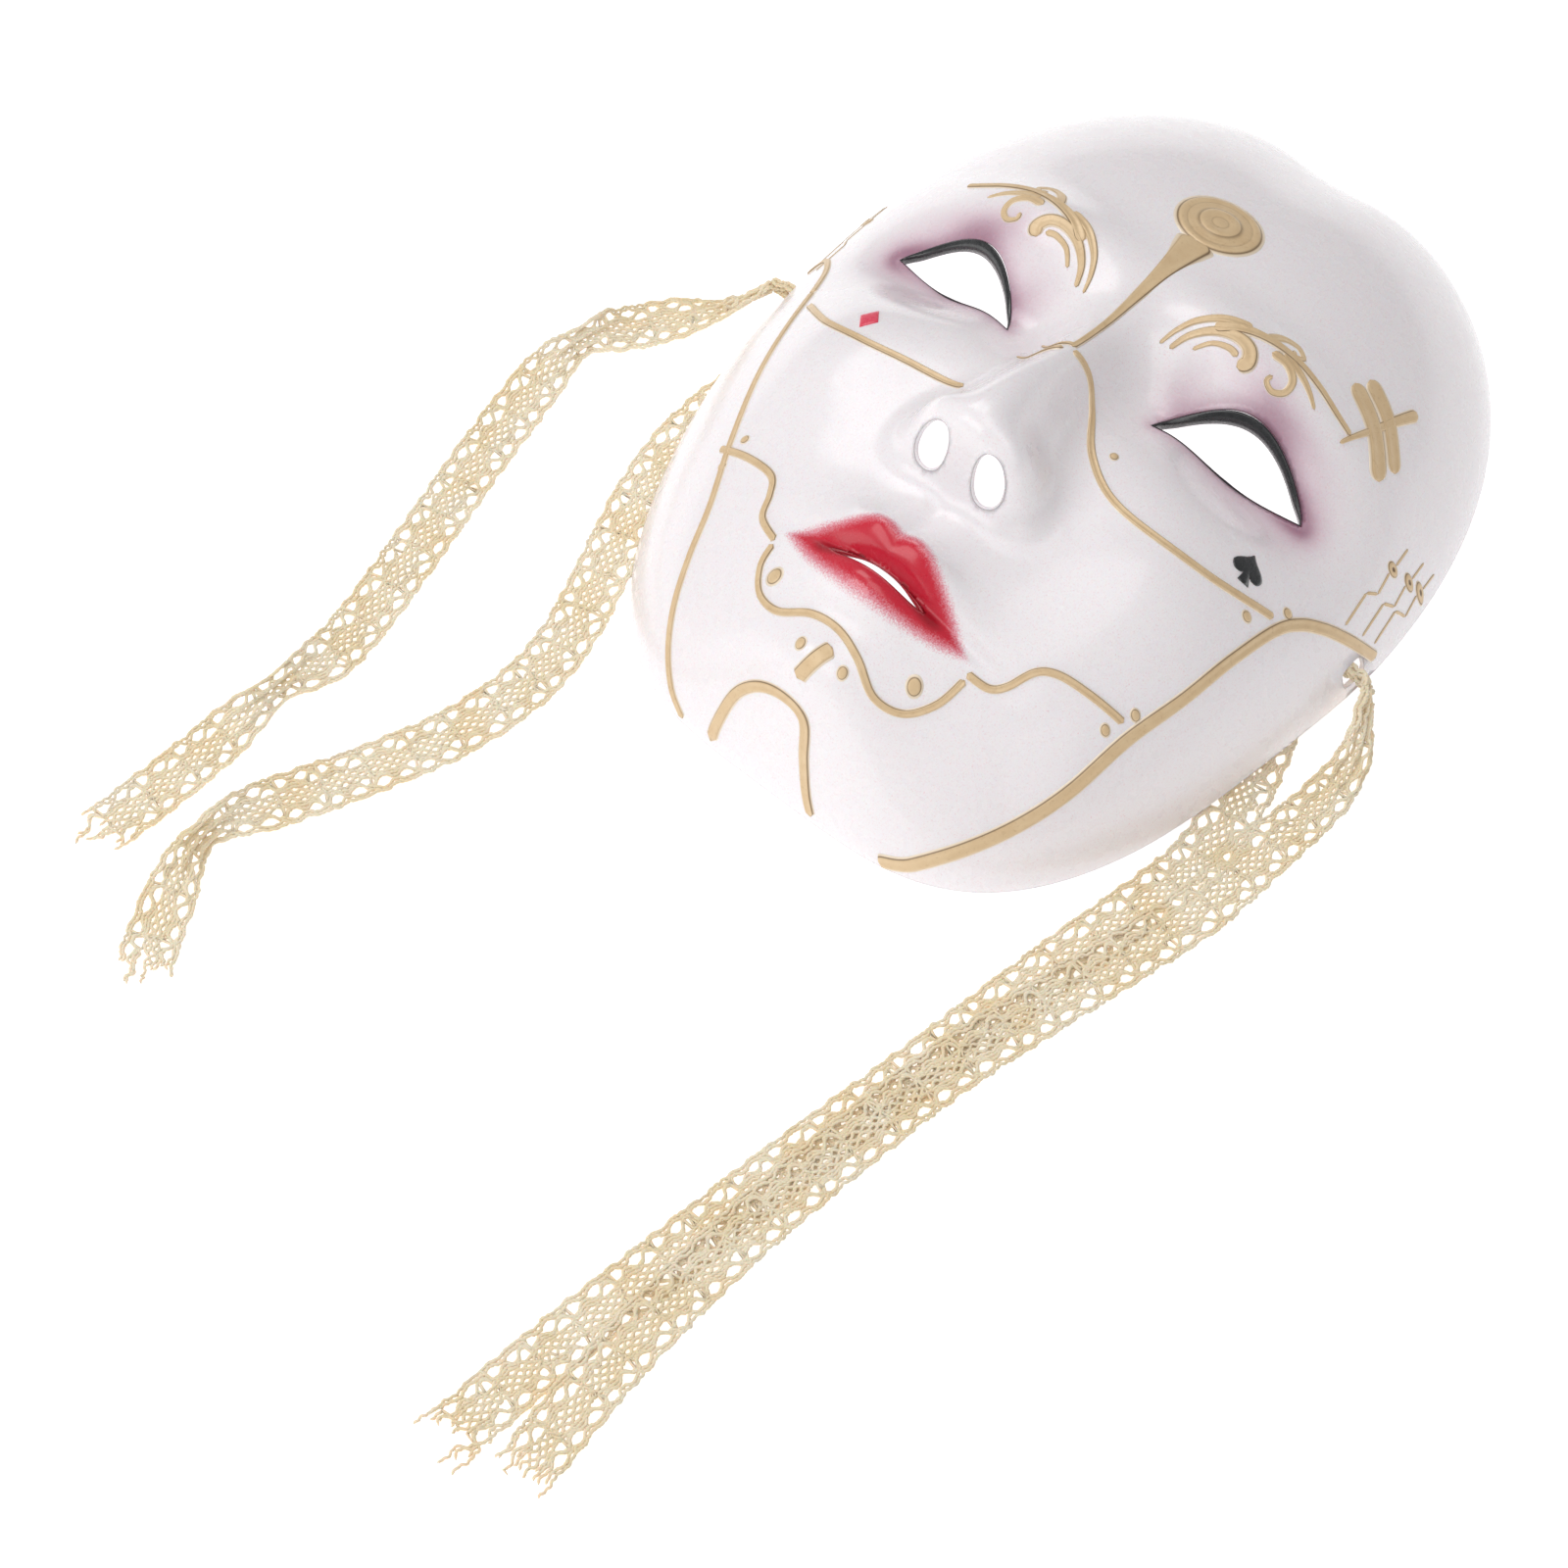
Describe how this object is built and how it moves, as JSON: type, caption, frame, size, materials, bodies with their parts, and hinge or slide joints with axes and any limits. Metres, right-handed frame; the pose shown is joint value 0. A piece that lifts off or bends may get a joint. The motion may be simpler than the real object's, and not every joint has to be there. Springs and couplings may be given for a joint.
{
  "type": "full-face masquerade mask",
  "caption": "White moulded full-face masquerade mask with open eyes, nostrils and lips, gilt seam lines, suit marks and two lace tie ribbons, lying face up.",
  "frame": {"origin": "centre of the mask's outline on the plane its rim rests on, ribbons left out", "axes": "+Z out of the face, +Y to the forehead, +X to the wearer's left"},
  "size_m": [0.2264, 0.3846, 0.0756],
  "materials": {
    "shell_plastic": "satin pearly white",
    "gilt_paint": "satin gold-beige paint",
    "black_paint": "satin black paint",
    "red_paint": "satin coral red paint",
    "cotton_lace": "cream cotton bobbin lace"
  },
  "bodies": {
    "root": {"mask_shell": "shell_plastic", "eye_edging_left": "black_paint", "eye_edging_right": "black_paint", "forehead_medallion": "gilt_paint", "medallion_neck": "gilt_paint", "bridge_spurs": "gilt_paint", "brow_scroll_left": "gilt_paint", "brow_scroll_right": "gilt_paint", "temple_stitch": "gilt_paint", "nose_seam_left": "gilt_paint", "cheek_line_right": "gilt_paint", "jaw_groove_left": "gilt_paint", "jaw_seam_right": "gilt_paint", "slot_loop_right": "gilt_paint", "step_seam_left": "gilt_paint", "step_seam_right": "gilt_paint", "lip_panel_seam": "gilt_paint", "chin_arch": "gilt_paint", "chin_bar": "gilt_paint", "seam_dots": "gilt_paint", "circuit_lines_left": "gilt_paint", "circuit_lines_right": "gilt_paint", "cheek_spade": "black_paint", "cheek_diamond": "red_paint", "ribbon_left_outer": "cotton_lace", "ribbon_left_inner": "cotton_lace", "ribbon_right_outer": "cotton_lace", "ribbon_right_inner": "cotton_lace"}
  },
  "joints": []
}
